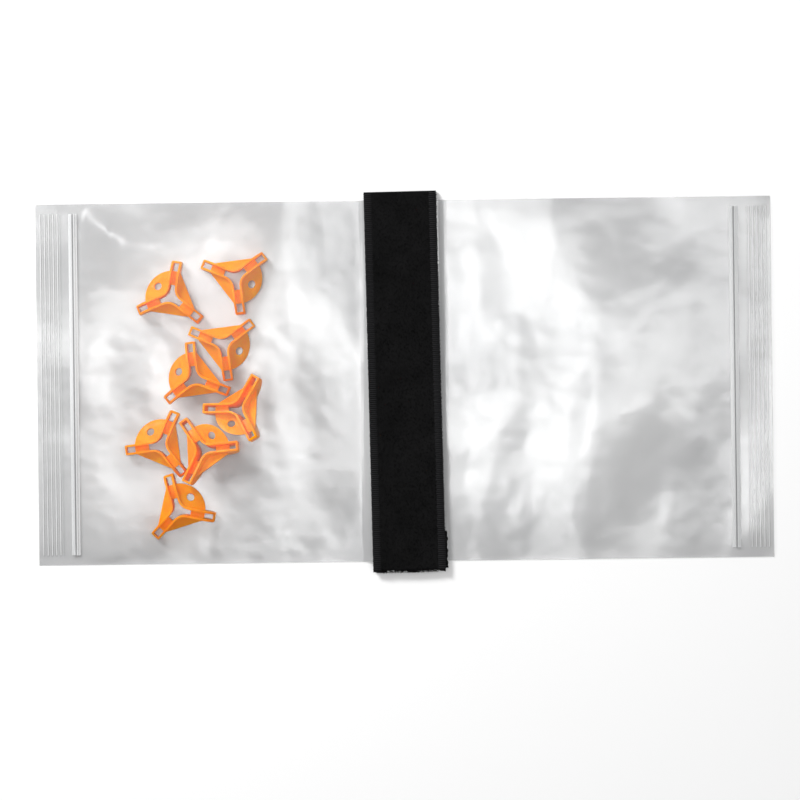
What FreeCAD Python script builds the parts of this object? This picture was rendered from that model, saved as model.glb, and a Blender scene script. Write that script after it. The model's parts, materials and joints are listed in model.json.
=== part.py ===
"""Leveling block set: eight three-armed moulded blocks in a clear two-pocket pouch that a strap closes.

The pouch is a flat tube of polyethylene film, 517 mm long and 254 mm wide, with a press-to-close zip near
each end. A 50.8 mm hook-and-loop strap wraps round its middle and parts it into two pockets. The blocks
lie loose in the left pocket. Each block is one moulding: a hollow wall in the shape of a Y, a bridge in
each arm, and a sloping flange that has two straight sides and a round tab with a hole.

Frame: X runs along the pouch, Y across it, Z up. The origin is under the middle of the pouch, on the
surface that it lies on. All lengths are in millimetres and all angles in degrees.
"""

import FreeCAD
import Part
import math
import os

Vector = FreeCAD.Vector

# Pouch
POUCH_LENGTH = 517.0
POUCH_WIDTH = 254.0
FILM = 0.3
WELD = 3.0                          # welded margin along each long edge
LIP = 26.2                          # from each zip's centre to the film's edge
GAP = 0.3                           # clearance between pieces that move apart

END_X = POUCH_LENGTH / 2
SIDE_Y = POUCH_WIDTH / 2
WELD_Y = SIDE_Y - WELD
SHOULDER_Y = SIDE_Y - 42.0          # where a puffed film levels off, across the pouch

# A pocket along X, from the fold at the strap to its lips
FOLD_X = 28.0
RISE_X = FOLD_X + 5.0
TOP_X = RISE_X + 50.0
CREASE_X = 165.0                    # the front film bends here when the mouth opens
FALL_X = CREASE_X + 13.0
FOOT_X = 225.0
LEFT_PUFF = 27.6                    # height of the front film over the blocks
RIGHT_PUFF = 9.0

# Press-to-close zip, in section
ZIP_X = END_X - LIP
ZIP_HALF_LENGTH = 120.0
ZIP_BASE_HALF = 3.0
ZIP_BASE = 0.4
CHANNEL_TOP = 1.9
BEAD_BASE_Z = 2.1
ZIP_FILM_Z = 2.4                    # underside of the front film over the zip
LIP_FILM_Z = 1.6                    # underside of the front lip
RIB_WIDTH = 0.6
RIB_HEIGHT = 0.4
RIB_PITCH = 3.0
RIB_COUNT = 5
RIB_START_X = ZIP_X + 9.0

# Strap: a tape with loops on its outer face and hooks on its inner face
STRAP_WIDTH = 50.8
STRAP_HALF_LENGTH = 133.0
LOOP_LAYER = 0.8
HOOK_LAYER = 0.6
STRAP_HEIGHT = 4.2                  # over one turn round the pouch
STRAP_LEAN = 0.8
CENTRE_FILM_Z = 1.9
PEEL_Y = -38.3                      # the tab lifts about this line
TAPE_START_Y = -58.0                # the tape's first end, under the tab
TAB_LEVEL_Y = -52.0
TAB_RISE = 1.8

# Block
ARM_REACH = 25.7
ARM_WIDTH = 7.0
BLOCK_WALL = 1.4
BLOCK_HEIGHT = 13.8
CROOK_RADIUS = 8.0                  # outer wall between two arms
ARM_CORNER = 0.8
FLANGE_PEAK_Z = 12.5                # where the three plates of the flange would meet
FLANGE_SLOPE = 24.0
FLANGE_THICKNESS = 1.3
TAB_RADIUS = 18.5
WEB_REACH = 12.0                    # centre to each straight side of the flange
TAB_HOLE_RADIUS = 2.8
TAB_HOLE_REACH = 13.4               # from the centre, down the slope
BRIDGE = (8.5, 18.3)                # along an arm
BRIDGE_Z = 5.8
CREST_REACH = 11.7                  # an arm's upper edge is level up to here and curves down beyond
CREST_RADIUS = 15.8

# Blocks as they lie: centre x and y, turn of the first arm, flipped or not, lean and its direction
BLOCKS = (
    (-162.4, 60.2, 80.9, False, 2.0, 120.0),
    (-117.5, 73.2, 276.9, False, 2.0, 60.0),
    (-126.8, 26.9, 276.9, False, 1.5, 330.0),
    (-146.8, 3.5, 97.4, False, 1.5, 200.0),
    (-117.1, -17.5, 299.0, True, 20.0, 150.0),
    (-170.9, -43.6, 67.2, False, 1.5, 160.0),
    (-141.8, -46.2, 124.5, True, 16.0, 135.0),
    (-159.0, -88.5, 347.0, False, 2.0, 240.0),
)
BLOCK_FLOOR = FILM + GAP


def bar(x0, x1, y0, y1, z0, z1):
    """A box between two corners."""
    return Part.makeBox(x1 - x0, y1 - y0, z1 - z0, Vector(x0, y0, z0))


def prism(corners, direction):
    """A flat outline pushed along a direction."""
    outline = Part.makePolygon(corners + corners[:1])
    return Part.Face(outline).extrude(direction)


def prism_along_y(section, half_width):
    """A section in X and Z, pushed from -half_width to half_width."""
    return prism([Vector(x, -half_width, z) for x, z in section], Vector(0, 2 * half_width, 0))


def prism_along_x(section, x0, x1):
    """A section in Y and Z, pushed from x0 to x1."""
    return prism([Vector(x0, y, z) for y, z in section], Vector(x1 - x0, 0, 0))


def panel(corners):
    """A flat panel of film from its upper corners, which lie in one plane."""
    return prism([Vector(*corner) for corner in corners], Vector(0, 0, -FILM))


def cross_panel(x0, x1, half0, half1, z0, z1):
    """A panel that runs right across the pouch between two lines, each with its own half width and height."""
    return panel([(x0, -half0, z0), (x0, half0, z0), (x1, half1, z1), (x1, -half1, z1)])


def side_panels(near_x, shoulder_x, far_x, edge_x, edge_y, edge_z, puff):
    """The two panels that slope down from a level top to the pouch's long edges."""
    panels = []
    for side in (-1, 1):
        panels.append(panel([
            (near_x, side * SHOULDER_Y, puff),
            (shoulder_x, side * SHOULDER_Y, puff),
            (far_x, side * edge_y, edge_z),
            (edge_x, side * edge_y, edge_z),
        ]))
    return panels


def front_film(puff):
    """The part of a pocket's front film that stays with the pocket, welded along three edges."""
    flange = 2 * FILM
    panels = [
        cross_panel(RISE_X, TOP_X, WELD_Y, SHOULDER_Y, flange, puff),
        cross_panel(TOP_X, CREASE_X, SHOULDER_Y, SHOULDER_Y, puff, puff),
        bar(FOLD_X, RISE_X, -WELD_Y, WELD_Y, FILM, flange),
        bar(FOLD_X, END_X, -SIDE_Y, -WELD_Y, FILM, flange),
        bar(FOLD_X, END_X, WELD_Y, SIDE_Y, FILM, flange),
    ]
    panels += side_panels(CREASE_X, TOP_X, RISE_X, CREASE_X, WELD_Y, flange, puff)
    return Part.makeCompound(panels)


def mouth_film(puff):
    """The part of the front film that lifts when the mouth opens, from the crease to the lip's edge."""
    start_x = CREASE_X + 2 * GAP
    half_width = WELD_Y - 1.0
    zip_z = ZIP_FILM_Z + FILM
    lip_z = LIP_FILM_Z + FILM
    zip_end_x = ZIP_X + ZIP_BASE_HALF + 0.5
    lip_start_x = zip_end_x + 3.0
    panels = [
        cross_panel(start_x, FALL_X, SHOULDER_Y, SHOULDER_Y, puff, puff),
        cross_panel(FALL_X, FOOT_X, SHOULDER_Y, half_width, puff, zip_z),
        cross_panel(FOOT_X, zip_end_x, half_width, half_width, zip_z, zip_z),
        cross_panel(zip_end_x, lip_start_x, half_width, half_width, zip_z, lip_z),
        cross_panel(lip_start_x, END_X, half_width, half_width, lip_z, lip_z),
    ]
    panels += side_panels(start_x, FALL_X, FOOT_X, start_x, half_width, zip_z, puff)
    return Part.makeCompound(panels)


def zip_rail(section):
    """One rail of a zip half, from its section about the zip's centre line."""
    return prism_along_y([(ZIP_X + x, z) for x, z in section], ZIP_HALF_LENGTH)


def rectangle(x0, x1, z0, z1):
    """A section in X and Z."""
    return [(x0, z0), (x1, z0), (x1, z1), (x0, z1)]


def zip_channel():
    """The zip half on the back film: a base and two walls that lean in over the slot."""
    half_slot, half_throat, outer = 0.8, 0.5, 1.4
    base_top = FILM + ZIP_BASE
    wall = [(half_slot, base_top), (outer, base_top), (outer, CHANNEL_TOP), (half_throat, CHANNEL_TOP)]
    return Part.makeCompound([
        zip_rail(rectangle(-ZIP_BASE_HALF, ZIP_BASE_HALF, FILM, base_top)),
        zip_rail(wall),
        zip_rail([(-x, z) for x, z in wall]),
    ])


def zip_bead():
    """The zip half on the front film: a base, a stem and an arrow head that snaps into the channel."""
    half_stem, half_head, half_tip = 0.25, 0.55, 0.2
    neck_z, tip_z = 1.4, 0.9
    return Part.makeCompound([
        zip_rail(rectangle(-ZIP_BASE_HALF, ZIP_BASE_HALF, BEAD_BASE_Z, ZIP_FILM_Z)),
        zip_rail(rectangle(-half_stem, half_stem, neck_z, BEAD_BASE_Z)),
        zip_rail([(-half_tip, tip_z), (half_tip, tip_z), (half_head, neck_z), (-half_head, neck_z)]),
    ])


def grip_ribs(z, shift):
    """Fine ribs along a lip, which keep it from slipping between the fingers."""
    ribs = []
    for n in range(RIB_COUNT):
        x = RIB_START_X + shift + n * RIB_PITCH
        ribs.append(bar(x, x + RIB_WIDTH, -ZIP_HALF_LENGTH, ZIP_HALF_LENGTH, z, z + RIB_HEIGHT))
    return Part.makeCompound(ribs)


def pocket(side, puff):
    """One pocket's pieces by name, built on the right and mirrored for the left."""
    pieces = {
        "back_film": bar(FOLD_X, END_X, -SIDE_Y, SIDE_Y, 0, FILM),
        "front_film": front_film(puff),
        "mouth_film": mouth_film(puff),
        "zip_channel": zip_channel(),
        "zip_bead": zip_bead(),
        "back_grip_ribs": grip_ribs(FILM, RIB_PITCH / 2),
        "front_grip_ribs": grip_ribs(LIP_FILM_Z - RIB_HEIGHT, 0.0),
    }
    if side == "left":
        pieces = {name: shape.mirror(Vector(0, 0, 0), Vector(1, 0, 0)) for name, shape in pieces.items()}
    return {f"{side}_{name}": shape for name, shape in pieces.items()}


def centre_film(z):
    """A layer of the tube's film where the strap holds it flat."""
    half = FOLD_X - 2 * GAP
    return bar(-half, half, -SIDE_Y, SIDE_Y, z, z + FILM)


def rounded_turn(inset):
    """The solid inside the strap's turn round the pouch, drawn in by inset, with half-round ends."""
    half = STRAP_WIDTH / 2
    radius = STRAP_HEIGHT / 2 - inset
    reach = STRAP_HALF_LENGTH - inset - radius
    low, mid, high = inset, STRAP_HEIGHT / 2, STRAP_HEIGHT - inset

    def at(y, z):
        return Vector(-half, y, z)

    edges = [
        Part.LineSegment(at(-reach, low), at(reach, low)),
        Part.Arc(at(reach, low), at(reach + radius, mid), at(reach, high)),
        Part.LineSegment(at(reach, high), at(-reach, high)),
        Part.Arc(at(-reach, high), at(-reach - radius, mid), at(-reach, low)),
    ]
    outline = Part.Wire([edge.toShape() for edge in edges])
    return Part.Face(outline).extrude(Vector(STRAP_WIDTH, 0, 0))


def strap_turn(outer_inset, inner_inset):
    """One layer of the tape round the pouch, open on the front between its first end and the tab."""
    layer = rounded_turn(outer_inset).cut(rounded_turn(inner_inset))
    turn_y, end_y = STRAP_HALF_LENGTH - STRAP_HEIGHT / 2, STRAP_HALF_LENGTH + 1.0
    middle, top = STRAP_HEIGHT / 2, STRAP_HEIGHT + 1.0
    stretches = [
        (-end_y, -turn_y, -1.0, top),
        (-turn_y, turn_y, -1.0, middle),
        (turn_y, end_y, -1.0, top),
        (-turn_y, TAPE_START_Y, middle, top),
        (PEEL_Y + GAP, turn_y, middle, top),
    ]
    half = STRAP_WIDTH / 2
    return Part.makeCompound([layer.common(bar(-half, half, *stretch)) for stretch in stretches])


def strap_tab(drop, thickness):
    """One layer of the tab: it starts level with the front of the turn and steps up over the first end."""
    top = STRAP_HEIGHT - drop
    start = PEEL_Y - GAP
    section = [
        (start, top - thickness),
        (start, top),
        (TAB_LEVEL_Y, top + TAB_RISE),
        (-STRAP_HALF_LENGTH, top + TAB_RISE),
        (-STRAP_HALF_LENGTH, top + TAB_RISE - thickness),
        (TAB_LEVEL_Y, top + TAB_RISE - thickness),
    ]
    return prism_along_x(section, -STRAP_WIDTH / 2, STRAP_WIDTH / 2)


def strap():
    """The strap's four pieces by name, with its slight lean across the pouch."""
    pieces = {
        "strap_loop_layer": strap_turn(0.0, LOOP_LAYER),
        "strap_hook_layer": strap_turn(LOOP_LAYER, LOOP_LAYER + HOOK_LAYER),
        "tab_loop_layer": strap_tab(0.0, LOOP_LAYER),
        "tab_hook_layer": strap_tab(LOOP_LAYER, HOOK_LAYER),
    }
    for shape in pieces.values():
        shape.rotate(Vector(0, 0, 0), Vector(0, 0, 1), STRAP_LEAN)
    return pieces


def upright_edges(shape, radius_from, radius_to):
    """Edges along Z whose distance from the Z axis lies between two values."""
    found = []
    for edge in shape.Edges:
        start, end = edge.Vertexes[0].Point, edge.Vertexes[-1].Point
        level = math.hypot(start.x - end.x, start.y - end.y) < 1e-6
        if level and radius_from < math.hypot(start.x, start.y) < radius_to:
            found.append(edge)
    return found


def three_arms(width, reach, height, crook):
    """A solid Y of three arms at 120 degrees, with rounded crooks between them."""
    shape = None
    for turn in (0, 120, 240):
        arm = bar(0, reach, -width / 2, width / 2, 0, height)
        arm.rotate(Vector(0, 0, 0), Vector(0, 0, 1), turn)
        shape = arm if shape is None else shape.fuse(arm)
    shape = shape.removeSplitter()
    return shape.makeFillet(crook, upright_edges(shape, width / 2 + 0.1, width))


def flange_plate(turn, is_tab):
    """One of the flange's three plates: it slopes down from the centre and fills the bay between two arms."""
    plate = bar(0, 2 * TAB_RADIUS, -2 * TAB_RADIUS, 2 * TAB_RADIUS, -FLANGE_THICKNESS, 0)
    if is_tab:
        below = Vector(TAB_HOLE_REACH, 0, -2 * FLANGE_THICKNESS)
        plate = plate.cut(Part.makeCylinder(TAB_HOLE_RADIUS, 3 * FLANGE_THICKNESS, below))
    plate.rotate(Vector(0, 0, 0), Vector(0, 1, 0), FLANGE_SLOPE)
    plate.translate(Vector(0, 0, FLANGE_PEAK_Z))
    far, side = 2 * TAB_RADIUS, 2 * TAB_RADIUS * math.tan(math.radians(60))
    bay = prism([Vector(0, 0, 0), Vector(far, -side, 0), Vector(far, side, 0)], Vector(0, 0, BLOCK_HEIGHT))
    if is_tab:
        outline = Part.makeCylinder(TAB_RADIUS, BLOCK_HEIGHT)
    else:
        outline = bar(0, WEB_REACH, -TAB_RADIUS, TAB_RADIUS, 0, BLOCK_HEIGHT)
    plate = plate.common(bay).common(outline)
    plate.rotate(Vector(0, 0, 0), Vector(0, 0, 1), turn)
    return plate


def crest():
    """The solid under the arms' upper edges, level in the middle and curving down to the arm ends."""
    rim = ARM_REACH + 1.0
    centre_z = BLOCK_HEIGHT - CREST_RADIUS

    def height(reach):
        return centre_z + math.sqrt(CREST_RADIUS**2 - (reach - CREST_REACH) ** 2)

    middle = (CREST_REACH + rim) / 2
    start, end = Vector(CREST_REACH, 0, BLOCK_HEIGHT), Vector(rim, 0, height(rim))
    edges = [
        Part.LineSegment(Vector(0, 0, 0), Vector(0, 0, BLOCK_HEIGHT)).toShape(),
        Part.LineSegment(Vector(0, 0, BLOCK_HEIGHT), start).toShape(),
        Part.Arc(start, Vector(middle, 0, height(middle)), end).toShape(),
        Part.LineSegment(end, Vector(rim, 0, 0)).toShape(),
        Part.LineSegment(Vector(rim, 0, 0), Vector(0, 0, 0)).toShape(),
    ]
    return Part.Face(Part.Wire(edges)).revolve(Vector(0, 0, 0), Vector(0, 0, 1), 360)


def block():
    """One block in its own frame: it stands on its flat rims, with the first arm along X."""
    outer = three_arms(ARM_WIDTH, ARM_REACH, BLOCK_HEIGHT, CROOK_RADIUS)
    outer = outer.makeFillet(ARM_CORNER, upright_edges(outer, ARM_REACH - 1.0, ARM_REACH + 1.0))
    inner = three_arms(
        ARM_WIDTH - 2 * BLOCK_WALL, ARM_REACH - BLOCK_WALL, BLOCK_HEIGHT, CROOK_RADIUS + BLOCK_WALL
    )
    shape = outer
    for turn in (60, 180, 300):
        shape = shape.fuse(flange_plate(turn, turn == 60))
    shape = shape.cut(inner)
    for turn in (0, 120, 240):
        half = ARM_WIDTH / 2 - BLOCK_WALL / 2
        bridge = bar(BRIDGE[0], BRIDGE[1], -half, half, BRIDGE_Z, BRIDGE_Z + BLOCK_WALL)
        bridge.rotate(Vector(0, 0, 0), Vector(0, 0, 1), turn)
        shape = shape.fuse(bridge)
    return shape.common(crest()).removeSplitter()


def laid_block(x, y, turn, flipped, lean, lean_direction):
    """A block as it lies in the pocket, with its lowest point just over the back film."""
    shape = block()
    if flipped:
        shape.rotate(Vector(0, 0, 0), Vector(1, 0, 0), 180)
    shape.rotate(Vector(0, 0, 0), Vector(0, 0, 1), turn)
    direction = math.radians(lean_direction + 90)
    shape.rotate(Vector(0, 0, 0), Vector(math.cos(direction), math.sin(direction), 0), lean)
    shape.translate(Vector(x, y, BLOCK_FLOOR - shape.optimalBoundingBox().ZMin))
    return shape


def all_pieces():
    """Every piece of the set by name."""
    pieces = {}
    pieces.update(pocket("left", LEFT_PUFF))
    pieces.update(pocket("right", RIGHT_PUFF))
    pieces["centre_back_film"] = centre_film(CENTRE_FILM_Z)
    pieces["centre_front_film"] = centre_film(CENTRE_FILM_Z + FILM)
    pieces.update(strap())
    for number, place in enumerate(BLOCKS, start=1):
        pieces[f"block_{number}"] = laid_block(*place)
    return pieces


def main():
    os.makedirs("parts", exist_ok=True)
    for name, shape in all_pieces().items():
        if not shape.isValid():
            raise ValueError(f"{name} is not a valid shape")
        shape.exportStep(f"parts/{name}.step")
        box = shape.BoundBox
        print(f"{name}: {len(shape.Solids)} solids, {shape.Volume / 1000:.2f} cm3, top {box.ZMax:.1f}")


main()
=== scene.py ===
"""The leveling block set as it looks: moulded blocks in a clear zip pouch with a hook-and-loop strap.

The pouch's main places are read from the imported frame, and the rest are set here. Lengths are in metres unless
a comment says otherwise.
"""

import json
import math
import random

import bpy
import numpy as np
from mathutils import Matrix, Vector


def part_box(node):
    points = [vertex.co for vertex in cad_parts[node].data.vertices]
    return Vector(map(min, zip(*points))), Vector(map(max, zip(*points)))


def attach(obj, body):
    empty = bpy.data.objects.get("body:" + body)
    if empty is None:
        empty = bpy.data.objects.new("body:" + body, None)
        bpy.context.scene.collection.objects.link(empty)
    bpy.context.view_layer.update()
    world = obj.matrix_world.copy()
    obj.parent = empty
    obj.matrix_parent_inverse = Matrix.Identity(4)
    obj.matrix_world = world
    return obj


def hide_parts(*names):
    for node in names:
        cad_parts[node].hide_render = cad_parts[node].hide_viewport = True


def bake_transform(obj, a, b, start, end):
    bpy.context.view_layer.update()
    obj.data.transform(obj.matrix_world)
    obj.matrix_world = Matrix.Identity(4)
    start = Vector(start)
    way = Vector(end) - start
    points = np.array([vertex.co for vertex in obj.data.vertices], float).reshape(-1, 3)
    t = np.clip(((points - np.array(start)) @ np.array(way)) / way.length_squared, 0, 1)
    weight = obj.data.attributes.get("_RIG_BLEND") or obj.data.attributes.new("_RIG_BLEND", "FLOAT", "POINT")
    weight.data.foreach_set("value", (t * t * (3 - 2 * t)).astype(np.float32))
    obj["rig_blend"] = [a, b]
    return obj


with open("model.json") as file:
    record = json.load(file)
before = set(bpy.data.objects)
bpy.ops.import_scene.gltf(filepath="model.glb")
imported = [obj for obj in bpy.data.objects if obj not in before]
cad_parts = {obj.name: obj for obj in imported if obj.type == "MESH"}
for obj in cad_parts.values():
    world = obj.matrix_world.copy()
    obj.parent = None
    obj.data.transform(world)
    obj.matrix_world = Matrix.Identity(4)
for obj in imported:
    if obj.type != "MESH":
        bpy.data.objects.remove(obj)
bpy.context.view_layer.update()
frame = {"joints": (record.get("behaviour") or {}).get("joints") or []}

MM = 0.001
random.seed(7)

# The pouch, read from the frame
END_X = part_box("right_back_film")[1][0]
SIDE_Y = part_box("right_back_film")[1][1]
FOLD_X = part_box("right_back_film")[0][0]
CREASE_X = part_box("right_mouth_film")[0][0]
ZIP_X = (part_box("right_zip_channel")[0][0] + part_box("right_zip_channel")[1][0]) / 2
ZIP_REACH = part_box("right_zip_channel")[1][1]
ZIP_FILM_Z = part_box("right_zip_bead")[1][2] + 0.15 * MM
LIP_FILM_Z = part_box("right_front_grip_ribs")[1][2] + 0.15 * MM
PUFF = {"left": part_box("left_front_film")[1][2], "right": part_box("right_front_film")[1][2]}
JOINTS = {joint["name"]: joint for joint in frame["joints"]}

SIGN = {"left": -1, "right": 1}
BLOCK_COUNT = 8

# The film: its thickness, the back film's height, the side welds, the seam beside the strap, and where a
# pocket's front film rises, levels off and falls to the zip
FILM = 0.2 * MM
BACK_Z = 0.15 * MM
WELD = 3 * MM
WELD_Z = 0.45 * MM
SEAM_X = FOLD_X + 3 * MM
RISE_X = FOLD_X + 5 * MM
TOP_X = RISE_X + 50 * MM
FALL_X = CREASE_X + 13 * MM
FOOT_X = 225 * MM
SHOULDER_Y = SIDE_Y - 42 * MM

# What holds the front film up: trapped air on the right, the blocks on the left, highest near the tilted ones
RIGHT_CROWN = 7.4 * MM
LEFT_CROWN = 20.2 * MM
TILTED_RISE = 11.5 * MM
TILTED_X, TILTED_Y = -115 * MM, -46 * MM
TILTED_SPREAD_X, TILTED_SPREAD_Y = 54 * MM, 48 * MM

# How far above the puff the film's walls aim, how far it sinks between folds, over what distance folds fade
# in from the strap, the zip and the sides, and how many ripples cross it, how deep for their pitch
HEADROOM = 3 * MM
FOLD_SINK = 1.6 * MM
STRAP_FADE, ZIP_FADE, SIDE_FADE = 25 * MM, 22 * MM, 26 * MM
RIPPLES = 14
RIPPLE_DEPTH = 0.03

# The strap before it is turned to its lean: its half width, its woven edge, the heights of its front and its
# tab, its end, and where the tab's bend starts and levels off
STRAP_HALF = 25.4 * MM
SELVEDGE = 5.6 * MM
FRONT_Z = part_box("strap_loop_layer")[1][2]
TAB_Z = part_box("tab_loop_layer")[1][2]
TOP_Y = 133 * MM
PEEL_Y = -38.3 * MM
TAB_LEVEL_Y = -52 * MM

# The camera: its height, the width that fills the picture at that distance, and its sensor's width in mm
EYE_HEIGHT = 1.8
VIEW_WIDTH = 0.5629
SENSOR = 36

# Folds in each front film: centre x and y, heading in degrees, length, width and height in mm
FOLDS = {
    "left": [
        (-160, 100, 38, 30, 10, 1.8),
        (-112, 98, 62, 28, 12, 1.6),
        (-70, 46, 72, 60, 11, 2.0),
        (-46, -20, 86, 70, 7, 1.8),
        (-56, -92, 74, 30, 9, 1.8),
        (-88, -78, 60, 36, 11, 2.0),
        (-116, -104, 28, 30, 9, 1.6),
        (-92, 4, 100, 40, 10, 1.6),
        (-207, 24, 88, 80, 7, 1.5),
        (-205, -82, 94, 40, 7, 1.4),
    ],
    "right": [
        (46, 74, 92, 44, 6, 1.6),
        (54, 24, 62, 24, 4, 1.6),
        (50, -16, 112, 26, 5, 1.5),
        (48, -92, 74, 30, 6, 1.4),
        (73, 10, 84, 58, 13, 2.4),
        (74, 106, 90, 22, 5, 1.2),
        (112, -10, 64, 20, 11, 1.4),
        (130, 4, 42, 6, 2.2, -0.8),
        (180, 84, 66, 46, 17, 2.6),
        (150, 50, 30, 40, 15, -1.6),
        (141, -92, 88, 34, 9, 1.8),
        (86, -86, 100, 36, 13, -1.4),
        (204, -92, 58, 46, 11, 2.2),
        (202, 30, 10, 18, 6, 1.4),
        (203, -4, 8, 18, 6, 1.4),
        (205, -42, 30, 20, 7, 1.5),
    ],
}


def deselect_all():
    for item in bpy.context.selected_objects:
        item.select_set(False)
    bpy.context.view_layer.objects.active = None


def choose(piece):
    deselect_all()
    piece.select_set(True)
    bpy.context.view_layer.objects.active = piece


def settle(piece):
    """Puts a piece's place into its mesh and leaves the object at the origin."""
    choose(piece)
    bpy.ops.object.transform_apply(location=True, rotation=True, scale=True)
    return piece


def apply_modifiers(piece):
    choose(piece)
    for modifier in list(piece.modifiers):
        bpy.ops.object.modifier_apply(modifier=modifier.name)


def smooth_below(piece, degrees):
    choose(piece)
    bpy.ops.object.shade_smooth_by_angle(angle=math.radians(degrees))


def coordinates(piece):
    flat = np.zeros(len(piece.data.vertices) * 3)
    piece.data.vertices.foreach_get("co", flat)
    return flat.reshape(-1, 3)


def set_coordinates(piece, points):
    piece.data.vertices.foreach_set("co", points.astype(np.float32).ravel())
    piece.data.update()


def level_grid(name, low, high, cells, z=0.0):
    """A level grid of this many cells, from one corner in X and Y to the opposite one."""
    deselect_all()
    bpy.ops.mesh.primitive_grid_add(x_subdivisions=cells[0], y_subdivisions=cells[1], size=1)
    piece = bpy.context.active_object
    piece.name = name
    piece.scale = (high[0] - low[0], high[1] - low[1], 1)
    piece.location = ((low[0] + high[0]) / 2, (low[1] + high[1]) / 2, z)
    return settle(piece)


def give_wall(piece, thickness):
    """Makes a surface a closed sheet, half its thickness to either side, with its rims left sharp."""
    wall = piece.modifiers.new("wall", "SOLIDIFY")
    wall.thickness = thickness
    wall.offset = 0
    apply_modifiers(piece)
    smooth_below(piece, 50)


# Materials


class Finish:
    """A material with a Principled shader and short ways to add nodes to it."""

    def __init__(self, name, **sockets):
        self.material = bpy.data.materials.new(name)
        self.material.use_nodes = True
        self.nodes = self.material.node_tree.nodes
        self.links = self.material.node_tree.links
        self.shader = self.nodes["Principled BSDF"]
        for socket, value in sockets.items():
            self.shader.inputs[socket.replace("_", " ")].default_value = value
        self.place = self.nodes.new("ShaderNodeTexCoord").outputs["Object"]

    def noise(self, scale, detail=4.0, roughness=0.55, stretch=(1, 1, 1)):
        mapping = self.nodes.new("ShaderNodeMapping")
        mapping.inputs["Scale"].default_value = stretch
        self.links.new(self.place, mapping.inputs["Vector"])
        texture = self.nodes.new("ShaderNodeTexNoise")
        texture.inputs["Scale"].default_value = scale
        texture.inputs["Detail"].default_value = detail
        texture.inputs["Roughness"].default_value = roughness
        self.links.new(mapping.outputs["Vector"], texture.inputs["Vector"])
        return texture.outputs["Fac"]

    def wave(self, scale, direction, distortion=0.0):
        texture = self.nodes.new("ShaderNodeTexWave")
        texture.bands_direction = direction
        texture.inputs["Scale"].default_value = scale
        texture.inputs["Distortion"].default_value = distortion
        self.links.new(self.place, texture.inputs["Vector"])
        return texture.outputs["Fac"]

    def ramp(self, source, low, high, start=0.3, end=0.7):
        ramp = self.nodes.new("ShaderNodeValToRGB")
        ramp.color_ramp.elements[0].position = start
        ramp.color_ramp.elements[1].position = end
        ramp.color_ramp.elements[0].color = low
        ramp.color_ramp.elements[1].color = high
        self.links.new(source, ramp.inputs["Fac"])
        return ramp.outputs["Color"]

    def between(self, source, low, high):
        span = self.nodes.new("ShaderNodeMapRange")
        span.inputs["To Min"].default_value = low
        span.inputs["To Max"].default_value = high
        self.links.new(source, span.inputs["Value"])
        return span.outputs["Result"]

    def glancing(self, straight_on, edge_on):
        """Grows as a film is seen more from the side, where its reflection hides what is behind."""
        weight = self.nodes.new("ShaderNodeLayerWeight")
        weight.inputs["Blend"].default_value = 0.5
        span = self.nodes.new("ShaderNodeMapRange")
        span.inputs["From Min"].default_value = 0.3
        span.inputs["To Min"].default_value = straight_on
        span.inputs["To Max"].default_value = edge_on
        self.links.new(weight.outputs["Facing"], span.inputs["Value"])
        return span.outputs["Result"]

    def drive(self, socket, source):
        self.links.new(source, self.shader.inputs[socket])

    def bump(self, *layers):
        """Bumps in layers of height, strength and distance, the first being the coarsest."""
        normal = None
        for height, strength, distance in layers:
            bump = self.nodes.new("ShaderNodeBump")
            bump.inputs["Strength"].default_value = strength
            bump.inputs["Distance"].default_value = distance
            self.links.new(height, bump.inputs["Height"])
            if normal is not None:
                self.links.new(normal, bump.inputs["Normal"])
            normal = bump.outputs["Normal"]
        self.links.new(normal, self.shader.inputs["Normal"])


def front_film_finish():
    """Clear polyethylene: hardly milky, with a gloss that shows along its folds."""
    finish = Finish("clear_film", IOR=1.5, Metallic=0.7)
    cloud = finish.noise(11, 3)
    streak = finish.noise(30, 3, stretch=(0.15, 2.2, 1))
    finish.drive("Base Color", finish.ramp(cloud, (0.82, 0.825, 0.83, 1), (0.94, 0.945, 0.95, 1)))
    finish.drive("Roughness", finish.between(streak, 0.26, 0.38))
    finish.drive("Alpha", finish.glancing(0.018, 0.34))
    finish.bump((finish.noise(22, 2), 0.5, 1.2 * MM), (streak, 0.15, 0.3 * MM))
    return finish.material


def back_film_finish():
    """The same film behind: milkier, with a satin sheen."""
    finish = Finish("resting_film", IOR=1.5, Specular_IOR_Level=1.0, Metallic=0.12)
    cloud = finish.noise(9, 3)
    streak = finish.noise(30, 3, stretch=(0.15, 2.2, 1))
    finish.drive("Base Color", finish.ramp(cloud, (0.52, 0.524, 0.53, 1), (0.68, 0.682, 0.684, 1)))
    finish.drive("Roughness", finish.between(streak, 0.15, 0.23))
    finish.drive("Alpha", finish.between(cloud, 0.46, 0.54))
    swell = finish.noise(8, 1.5, 0.4, stretch=(1.3, 0.8, 1))
    finish.bump((swell, 1.0, 13 * MM), (finish.noise(26, 2), 0.6, 1.6 * MM), (streak, 0.15, 0.3 * MM))
    return finish.material


def zip_finish():
    """Thicker polyethylene of the zip and the ribs: milkier and smoother."""
    finish = Finish("zip_plastic", IOR=1.5, Specular_IOR_Level=0.8)
    streak = finish.noise(60, 3, stretch=(1, 0.08, 1))
    finish.drive("Base Color", finish.ramp(streak, (0.76, 0.77, 0.78, 1), (0.92, 0.925, 0.93, 1)))
    finish.drive("Roughness", finish.between(streak, 0.16, 0.3))
    finish.drive("Alpha", finish.between(streak, 0.10, 0.16))
    finish.bump((streak, 0.25, 0.2 * MM))
    return finish.material


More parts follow.
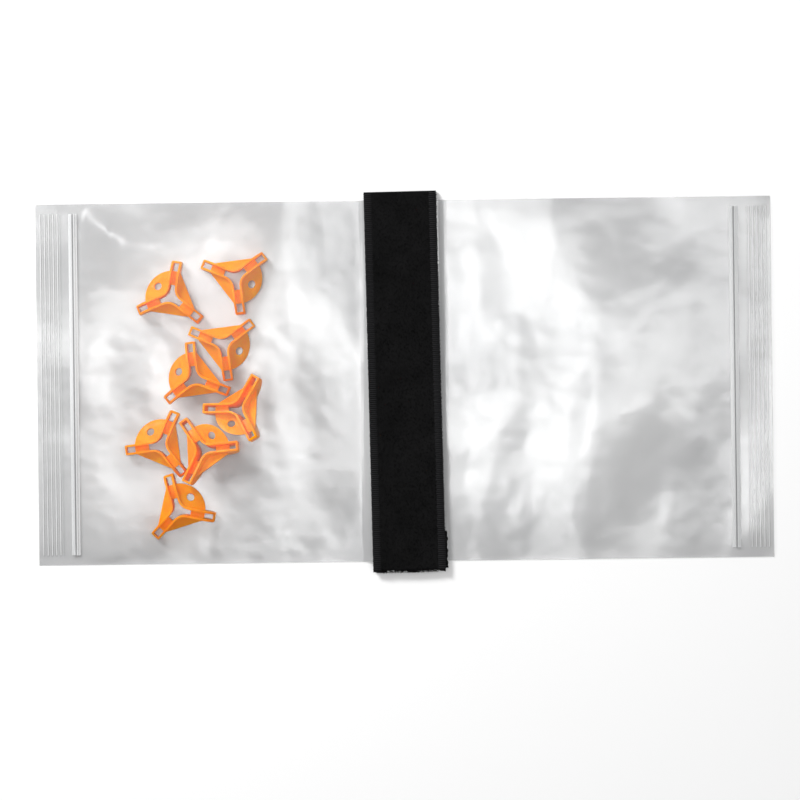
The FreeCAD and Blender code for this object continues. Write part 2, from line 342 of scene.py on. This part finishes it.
def track_finish():
    """The zip's track and the ribs behind it: thick enough to be milky right through."""
    finish = Finish("zip_track", IOR=1.5, Specular_IOR_Level=0.7)
    streak = finish.noise(60, 3, stretch=(1, 0.08, 1))
    finish.drive("Base Color", finish.ramp(streak, (0.56, 0.565, 0.57, 1), (0.70, 0.703, 0.706, 1)))
    finish.drive("Roughness", finish.between(streak, 0.2, 0.34))
    finish.bump((streak, 0.25, 0.2 * MM))
    return finish.material


def block_finish():
    """Orange plastic with faint flow marks and scuffs. Light sinks into it, and its shadow is half as dark."""
    finish = Finish("orange_plastic", IOR=1.49, Specular_IOR_Level=0.1, Subsurface_Weight=0.9)
    finish.shader.inputs["Subsurface Radius"].default_value = (1.0, 0.22, 0.02)
    finish.shader.inputs["Subsurface Scale"].default_value = 4 * MM
    flow = finish.noise(120, 3)
    scuff = finish.noise(700, 5, 0.7, stretch=(1, 0.3, 1))
    finish.drive("Base Color", finish.ramp(flow, (1.0, 0.25, 0.0, 1), (1.0, 0.33, 0.002, 1)))
    finish.drive("Roughness", finish.between(scuff, 0.22, 0.42))
    finish.bump((flow, 0.12, 0.08 * MM), (scuff, 0.12, 0.08 * MM))
    shadow = finish.nodes.new("ShaderNodeLightPath").outputs["Is Shadow Ray"]
    finish.drive("Alpha", finish.between(shadow, 1.0, 0.5))
    return finish.material


def pile_finish():
    """Black nylon pile, matt and uneven where it is brushed up."""
    finish = Finish("loop_pile", Roughness=0.85, Specular_IOR_Level=0.08)
    patch = finish.noise(60, 4)
    fuzz = finish.noise(2600, 4, 0.7)
    finish.drive("Base Color", finish.ramp(patch, (0.0022, 0.0022, 0.0023, 1), (0.0050, 0.0049, 0.0051, 1)))
    finish.drive("Roughness", finish.between(fuzz, 0.7, 0.95))
    finish.bump((finish.noise(500, 4, 0.7), 0.7, 0.3 * MM), (fuzz, 0.7, 0.3 * MM))
    return finish.material


def selvedge_finish():
    """The woven edge of the tape: tighter and a little shinier than the pile."""
    finish = Finish("woven_edge", Roughness=0.62, Specular_IOR_Level=0.16)
    thread = finish.noise(1800, 3, 0.6, stretch=(0.4, 2.5, 1))
    finish.drive("Base Color", finish.ramp(thread, (0.004, 0.004, 0.0044, 1), (0.013, 0.013, 0.0145, 1)))
    finish.drive("Roughness", finish.between(thread, 0.5, 0.78))
    finish.bump((finish.wave(360, "Y", 0.4), 0.5, 0.12 * MM), (thread, 0.5, 0.12 * MM))
    return finish.material


def hook_finish():
    """The hook side of the tape: rows of fine stiff hooks."""
    finish = Finish("hook_tape", Roughness=0.5, Specular_IOR_Level=0.45)
    row = finish.wave(420, "X", 0.3)
    post = finish.wave(360, "Y", 0.3)
    finish.drive("Base Color", finish.ramp(row, (0.004, 0.004, 0.0045, 1), (0.022, 0.022, 0.024, 1)))
    finish.drive("Roughness", finish.between(post, 0.4, 0.7))
    finish.bump((row, 0.8, 0.25 * MM), (post, 0.8, 0.25 * MM))
    return finish.material


FRONT_FILM_FINISH = front_film_finish()
BACK_FILM_FINISH = back_film_finish()
ZIP_FINISH = zip_finish()
TRACK_FINISH = track_finish()
BLOCK_FINISH = block_finish()
PILE_FINISH = pile_finish()
SELVEDGE_FINISH = selvedge_finish()
HOOK_FINISH = hook_finish()


def wear(piece, material):
    piece.data.materials.clear()
    piece.data.materials.append(material)


def cad_finish(node, material):
    """Gives a CAD node that stays a better material."""
    piece = bpy.data.objects[node]
    if not piece.material_slots:
        piece.data.materials.append(material)
    for material_slot in piece.material_slots:
        material_slot.material = material


# Film


def soft_min(levels, softness):
    """The lowest of several heights, rounded where they cross."""
    stack = np.stack([np.broadcast_to(level, levels[0].shape) for level in levels])
    lowest = stack.min(axis=0)
    return lowest - softness * np.log(np.exp(-(stack - lowest) / softness).sum(axis=0))


def folds_at(side, x, y):
    """Height of the soft folds over a film, from each fold's long rounded ridge."""
    height = np.zeros_like(x)
    for fold_x, fold_y, heading, length, width, rise in FOLDS[side]:
        turn = math.radians(heading)
        dx, dy = x - fold_x * MM, y - fold_y * MM
        along = dx * math.cos(turn) + dy * math.sin(turn)
        across = -dx * math.sin(turn) + dy * math.cos(turn)
        bend = across + 0.12 * along * np.sin(along / (length * MM))
        height += rise * MM * np.exp(-((along / (length * MM)) ** 2) - (bend / (width * MM)) ** 2)
    return height


def ripples_at(x, y):
    """Fine uneven waves that a creased film keeps."""
    waves = np.zeros_like(x)
    for _ in range(RIPPLES):
        heading = random.uniform(0, math.pi)
        pitch = random.uniform(0.03, 0.09)
        phase = random.uniform(0, 2 * math.pi)
        waves += np.sin((x * math.cos(heading) + y * math.sin(heading)) * 2 * math.pi / pitch + phase) * pitch
    return waves / RIPPLES * RIPPLE_DEPTH


def eased(share):
    """A share from 0 to 1 that starts and ends gently."""
    share = np.clip(share, 0, 1)
    return share * share * (3 - 2 * share)


def crown_at(side, x, y):
    """Height that a pocket's contents or trapped air hold the front film up to."""
    if side == "right":
        return np.full_like(x, RIGHT_CROWN)
    off_x, off_y = (x - TILTED_X) / TILTED_SPREAD_X, (y - TILTED_Y) / TILTED_SPREAD_Y
    return LEFT_CROWN + TILTED_RISE * np.exp(-(off_x ** 2) - off_y ** 2)


def front_height(side, x, y):
    """Height of a pocket's front film over the surface that the pouch lies on."""
    reach = np.abs(x)
    inset = SIDE_Y - WELD - np.abs(y)
    puff = PUFF[side] - 0.5 * MM
    lengthwise = np.interp(
        reach,
        [FOLD_X, RISE_X, TOP_X, FALL_X, FOOT_X, ZIP_X + 4 * MM, ZIP_X + 7 * MM, END_X],
        [WELD_Z, WELD_Z, puff, puff + HEADROOM, ZIP_FILM_Z, ZIP_FILM_Z, LIP_FILM_Z, LIP_FILM_Z],
    )
    edge_z = np.where(reach > FOOT_X - 20 * MM, LIP_FILM_Z, WELD_Z)
    inwards = np.clip(inset / (SIDE_Y - WELD - SHOULDER_Y), 0, 1)
    widthwise = edge_z + (puff + HEADROOM) * (0.6 * inwards + 0.4 * eased(inwards))
    softness = 2.8 * MM if side == "left" else 1.0 * MM
    height = soft_min([lengthwise, widthwise, crown_at(side, x, y)], softness)
    room = np.clip((reach - RISE_X) / STRAP_FADE, 0, 1) * np.clip((FOOT_X - reach) / ZIP_FADE, 0, 1)
    room = eased(room * np.clip(inset / SIDE_FADE, 0, 1))
    height = height + room * (folds_at(side, x, y) + ripples_at(x, y) - FOLD_SINK)
    height = soft_min([height, np.full_like(x, PUFF[side] - 0.3 * MM)], 0.6 * MM)
    height = -soft_min([-height, np.full_like(x, -WELD_Z)], 0.3 * MM)
    return np.where(np.abs(y) > SIDE_Y - WELD, WELD_Z, height)


def film_sheet(name, low_x, high_x, step, height_at, finish):
    """A flat grid of film between two X lines, lifted to its height and given its thickness."""
    cells = (max(2, round((high_x - low_x) / step)), round(2 * SIDE_Y / step))
    piece = level_grid(name, (low_x, -SIDE_Y), (high_x, SIDE_Y), cells)
    points = coordinates(piece)
    points[:, 2] = height_at(points[:, 0], points[:, 1])
    set_coordinates(piece, points)
    give_wall(piece, FILM)
    wear(piece, finish)
    return piece


def open_mouth(piece, side):
    """Bends a piece with the mouth, less and less towards the welds, which stay shut."""
    sign = SIGN[side]
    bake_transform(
        piece,
        f"{side}_pocket",
        f"{side}_mouth",
        start=(sign * (CREASE_X - 18 * MM), 0, 0),
        end=(sign * (FOOT_X - 4 * MM), 0, 0),
    )
    shares = piece.data.attributes["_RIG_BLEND"].data
    y = coordinates(piece)[:, 1]
    inset = np.clip((SIDE_Y - WELD - np.abs(y)) / (SIDE_Y - WELD), 0, 1)
    taper = np.sin(inset * math.pi / 2) ** 1.4
    weights = np.zeros(len(y), np.float32)
    shares.foreach_get("value", weights)
    shares.foreach_set("value", (weights * taper).astype(np.float32))


def front_film(side):
    low, high = sorted((SIGN[side] * SEAM_X, SIGN[side] * END_X))
    piece = film_sheet(
        f"{side}_front_sheet", low, high, 2.0 * MM,
        lambda x, y: front_height(side, x, y), FRONT_FILM_FINISH,
    )
    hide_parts(f"{side}_front_film", f"{side}_mouth_film")
    open_mouth(piece, side)


def back_film(side):
    low, high = sorted((SIGN[side] * SEAM_X, SIGN[side] * END_X))
    piece = film_sheet(
        f"{side}_back_sheet", low, high, 6.0 * MM,
        lambda x, y: np.full_like(x, BACK_Z), BACK_FILM_FINISH,
    )
    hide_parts(f"{side}_back_film")
    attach(piece, f"{side}_pocket")


def bridge_film(side, layer):
    """Half of the film under the strap, out to one pocket, which bends as that pocket folds up."""
    sign = SIGN[side]
    centre_z = sum(corner[2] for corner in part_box(f"centre_{layer}_film")) / 2
    pocket_z = WELD_Z if layer == "front" else BACK_Z
    low, high = sorted((0.0, sign * SEAM_X))

    def height_at(x, y):
        rise = eased((FOLD_X + 2 * MM - np.abs(x)) / (6 * MM))
        return pocket_z + (centre_z - pocket_z) * rise

    finish = FRONT_FILM_FINISH if layer == "front" else BACK_FILM_FINISH
    piece = film_sheet(f"{side}_{layer}_bridge", low, high, 1.5 * MM, height_at, finish)
    if side == "right":
        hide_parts(f"centre_{layer}_film")
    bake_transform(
        piece, "strap", f"{side}_pocket",
        start=(sign * (FOLD_X - 2.5 * MM), 0, 0),
        end=(sign * (FOLD_X + 2.5 * MM), 0, 0),
    )


# Zip and ribs that lift with the mouth


def copy_of(node, name):
    """A copy of a CAD node's mesh with its doubles merged, to be shaped further."""
    source = bpy.data.objects[node]
    piece = source.copy()
    piece.data = source.data.copy()
    piece.parent = None
    for key in list(piece.keys()):
        del piece[key]
    piece.name = name
    bpy.context.collection.objects.link(piece)
    piece.matrix_world = Matrix.Identity(4)
    choose(piece)
    bpy.ops.object.mode_set(mode="EDIT")
    bpy.ops.mesh.select_all(action="SELECT")
    bpy.ops.mesh.remove_doubles(threshold=0.002 * MM)
    bpy.ops.mesh.dissolve_limited(angle_limit=math.radians(0.5))
    bpy.ops.object.mode_set(mode="OBJECT")
    piece.hide_render = False
    piece.hide_viewport = False
    return piece


def lifting_strip(side, node, name):
    """A strip along the zip or lip that bends with the mouth, so it is cut across at a fine pitch."""
    pitch = 6 * MM
    piece = copy_of(f"{side}_{node}", name)
    bpy.ops.object.mode_set(mode="EDIT")
    for y in np.arange(-ZIP_REACH + pitch, ZIP_REACH, pitch):
        bpy.ops.mesh.select_all(action="SELECT")
        bpy.ops.mesh.bisect(plane_co=(0, y, 0), plane_no=(0, 1, 0))
    bpy.ops.object.mode_set(mode="OBJECT")
    smooth_below(piece, 30)
    wear(piece, ZIP_FINISH)
    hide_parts(f"{side}_{node}")
    open_mouth(piece, side)


# Blocks


def block(number):
    """One block with its edges rounded as a mould leaves them."""
    node = f"block_{number}"
    piece = copy_of(node, f"{node}_moulding")
    rounding = piece.modifiers.new("rounding", "BEVEL")
    rounding.width = 0.22 * MM
    rounding.segments = 2
    rounding.limit_method = "ANGLE"
    rounding.angle_limit = math.radians(35)
    rounding.harden_normals = False
    apply_modifiers(piece)
    smooth_below(piece, 40)
    wear(piece, BLOCK_FINISH)
    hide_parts(node)
    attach(piece, node)


# Strap


def lean_of_strap():
    axis = JOINTS["strap_peel"]["axis"]
    return math.atan2(axis[1], axis[0])


def strap_frame(piece):
    """Turns a piece that was made square to the axes to the strap's lean."""
    piece.data.transform(Matrix.Rotation(lean_of_strap(), 4, "Z"))


def tape_top(y):
    """Height of the tape's outer face along the strap's front."""
    share = np.clip((PEEL_Y - y) / (PEEL_Y - TAB_LEVEL_Y), 0, 1)
    return FRONT_Z + (TAB_Z - FRONT_Z) * share


def ragged(x):
    """How far the tape's cut end frays out along its width."""
    lobes = (
        0.7 * np.sin(x / (4.1 * MM) + 1)
        + 0.35 * np.sin(x / (1.7 * MM))
        + 0.25 * np.sin(x / (0.7 * MM) + 2)
    )
    return (1.3 + lobes) * MM


def scatter_loops(name, low_y, high_y, count):
    """Brushed-up loops of pile: small three-sided arches, each with its own size, turn and tilt."""
    rings, sides = 5, 3
    half_width = STRAP_HALF - SELVEDGE * 0.9
    vertices, faces = [], []
    for _ in range(count):
        x = random.uniform(-half_width, half_width)
        y = random.uniform(low_y, high_y)
        turn = random.uniform(0, 2 * math.pi)
        span = random.uniform(0.5, 1.3) * MM
        rise = random.uniform(0.25, 0.75) * MM
        thick = random.uniform(0.09, 0.15) * MM
        base = float(tape_top(y)) - 0.05 * MM
        tilt = random.uniform(-0.5, 0.5)
        first = len(vertices)
        for ring in range(rings):
            phase = math.pi * ring / (rings - 1)
            along = -math.cos(phase) * span / 2
            up = math.sin(phase) * rise
            for side in range(sides):
                angle = 2 * math.pi * side / sides
                off = math.cos(angle) * thick
                out = math.sin(angle) * thick
                px = along + off * math.cos(phase)
                pz = up + off * math.sin(phase)
                py = out + tilt * pz
                vertices.append((
                    x + px * math.cos(turn) - py * math.sin(turn),
                    y + px * math.sin(turn) + py * math.cos(turn),
                    base + pz,
                ))
        for ring in range(rings - 1):
            for side in range(sides):
                a = first + ring * sides + side
                b = first + ring * sides + (side + 1) % sides
                faces.append((a, b, b + sides, a + sides))
        faces.append(tuple(first + side for side in reversed(range(sides))))
        faces.append(tuple(first + (rings - 1) * sides + side for side in range(sides)))
    mesh = bpy.data.meshes.new(name)
    mesh.from_pydata(vertices, [], faces)
    piece = bpy.data.objects.new(name, mesh)
    bpy.context.collection.objects.link(piece)
    choose(piece)
    bpy.ops.object.mode_set(mode="EDIT")
    bpy.ops.mesh.select_all(action="SELECT")
    bpy.ops.mesh.normals_make_consistent(inside=False)
    bpy.ops.object.mode_set(mode="OBJECT")
    bpy.ops.object.shade_smooth()
    strap_frame(piece)
    wear(piece, PILE_FINISH)
    return piece


def selvedge_ribs(name, low_y, high_y):
    """The raised weft along both edges of the tape."""
    deselect_all()
    bpy.ops.mesh.primitive_cube_add(size=1)
    rib = bpy.context.active_object
    rib.name = name
    rib.scale = (SELVEDGE, 0.85 * MM, 0.5 * MM)
    settle(rib)
    rounding = rib.modifiers.new("rounding", "BEVEL")
    rounding.width = 0.2 * MM
    rounding.segments = 1
    apply_modifiers(rib)
    base = coordinates(rib)
    base_faces = [tuple(face.vertices) for face in rib.data.polygons]
    vertices, faces = [], []
    pitch = 1.4 * MM
    count = int((high_y - low_y) / pitch)
    for n in range(count):
        y = low_y + (n + 0.5) * pitch
        for side in (-1, 1):
            first = len(vertices)
            scallop = 0.35 * abs(math.sin(1.5 * n)) if side > 0 else 0
            jut = (random.uniform(0, 0.3) + scallop) * MM
            lift = float(tape_top(y)) + random.uniform(-0.02, 0.06) * MM
            skew = random.uniform(-0.04, 0.04)
            centre_x = side * (STRAP_HALF - SELVEDGE / 2 + jut)
            for px, py, pz in base:
                vertices.append((centre_x + px, y + py + skew * px, lift + pz))
            faces.extend(tuple(first + index for index in face) for face in base_faces)
    mesh = bpy.data.meshes.new(name)
    mesh.from_pydata(vertices, [], faces)
    rib.data = mesh
    smooth_below(rib, 50)
    strap_frame(rib)
    wear(rib, SELVEDGE_FINISH)
    return rib


def outer_tape():
    """The tape's outer face along the whole front, in one piece over the tab's bend."""
    reach = TOP_Y - 0.6 * MM
    piece = level_grid("strap_outer_tape", (-STRAP_HALF, -reach), (STRAP_HALF, reach), (64, 170))
    points = coordinates(piece)
    points[:, 2] = tape_top(points[:, 1]) - 0.35 * MM
    cut_end = points[:, 1] < 1 * MM - TOP_Y
    points[cut_end, 1] -= ragged(points[cut_end, 0])
    set_coordinates(piece, points)
    give_wall(piece, 0.8 * MM)
    strap_frame(piece)
    wear(piece, PILE_FINISH)
    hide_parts("tab_loop_layer")
    return piece


def under_layer():
    """The layer of tape beneath, which shows as a frayed sliver beside the lower right corner."""
    inner_x, outer_x = -24 * MM, STRAP_HALF + 1.7 * MM
    low_y, high_y = -TOP_Y + 1 * MM, -TOP_Y + 27 * MM
    level = FRONT_Z + 0.18 * MM
    piece = level_grid("strap_under_layer", (inner_x, low_y), (outer_x, high_y), (40, 60), level)
    points = coordinates(piece)
    frayed = points[:, 0] > outer_x - 0.1 * MM
    y = points[frayed, 1]
    points[frayed, 0] += 0.5 * MM * np.sin(y / (0.9 * MM)) * np.sin(y / (2.3 * MM))
    set_coordinates(piece, points)
    give_wall(piece, 0.24 * MM)
    strap_frame(piece)
    wear(piece, PILE_FINISH)
    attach(piece, "strap")


def bend_with_tab(piece):
    """Bends a piece of the strap's front where the tab peels away."""
    turn = lean_of_strap()
    heading = Vector((-math.sin(turn), math.cos(turn), 0))
    start, end = heading * (PEEL_Y + 3.5 * MM), heading * (PEEL_Y - 4.5 * MM)
    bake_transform(piece, "strap", "strap_tab", start=start, end=end)


def strap():
    cad_finish("strap_loop_layer", PILE_FINISH)
    cad_finish("strap_hook_layer", HOOK_FINISH)
    cad_finish("tab_hook_layer", HOOK_FINISH)
    low_y, high_y = -TOP_Y + 0.4 * MM, TOP_Y - 1.0 * MM
    bend_with_tab(outer_tape())
    bend_with_tab(scatter_loops("strap_pile", low_y, high_y, 7000))
    bend_with_tab(scatter_loops("strap_fringe", -TOP_Y - 1.5 * MM, -TOP_Y + 0.6 * MM, 520))
    bend_with_tab(selvedge_ribs("strap_selvedge", low_y, high_y))
    under_layer()


# Stage


def stage():
    deselect_all()
    bpy.ops.mesh.primitive_plane_add(size=6, location=(0, 0, -0.2 * MM))
    floor = bpy.context.active_object
    floor.name = "floor"
    settle(floor)
    paper = Finish("white_floor", Roughness=0.9, Specular_IOR_Level=0.1)
    paper.shader.inputs["Base Color"].default_value = (0.9, 0.9, 0.9, 1)
    wear(floor, paper.material)


def light(name, location, size, power):
    """A soft rectangular light that points at the origin."""
    data = bpy.data.lights.new(name, "AREA")
    data.shape = "RECTANGLE"
    data.size, data.size_y = size
    data.energy = power
    lamp = bpy.data.objects.new(name, data)
    bpy.context.collection.objects.link(lamp)
    lamp.location = location
    lamp.rotation_euler = (-Vector(location)).to_track_quat("-Z", "Y").to_euler()


def lights():
    light("key_light", (-0.95, 0.95, 1.1), (0.5, 0.5), 27)
    for n, x in enumerate((-0.56, 0.0, 0.5), start=1):
        light(f"strip_light_{n}", (x, 0.1, 1.9), (0.26, 1.1), 4.3)
    light("fill_light", (1.1, -0.9, 1.3), (1.2, 1.2), 3)
    bpy.context.scene.view_settings.view_transform = "Standard"
    world = bpy.data.worlds.new("studio")
    world.use_nodes = True
    world.node_tree.nodes["Background"].inputs["Color"].default_value = (1, 1, 1, 1)
    world.node_tree.nodes["Background"].inputs["Strength"].default_value = 0.3
    bpy.context.scene.world = world


def camera():
    data = bpy.data.cameras.new("camera")
    data.sensor_width = SENSOR
    data.lens = SENSOR * EYE_HEIGHT / VIEW_WIDTH
    eye = bpy.data.objects.new("camera", data)
    bpy.context.collection.objects.link(eye)
    eye.location = (-3.4 * MM, -13.6 * MM, EYE_HEIGHT)
    eye.rotation_euler = (0, 0, math.radians(-0.7))
    bpy.context.scene.camera = eye


def main():
    for side in ("left", "right"):
        back_film(side)
        front_film(side)
        for layer in ("back", "front"):
            bridge_film(side, layer)
        cad_finish(f"{side}_zip_channel", TRACK_FINISH)
        cad_finish(f"{side}_back_grip_ribs", TRACK_FINISH)
        lifting_strip(side, "zip_bead", f"{side}_zip_rib")
        lifting_strip(side, "front_grip_ribs", f"{side}_lip_ribs")
    for number in range(1, BLOCK_COUNT + 1):
        block(number)
    strap()
    stage()
    lights()
    camera()


main()
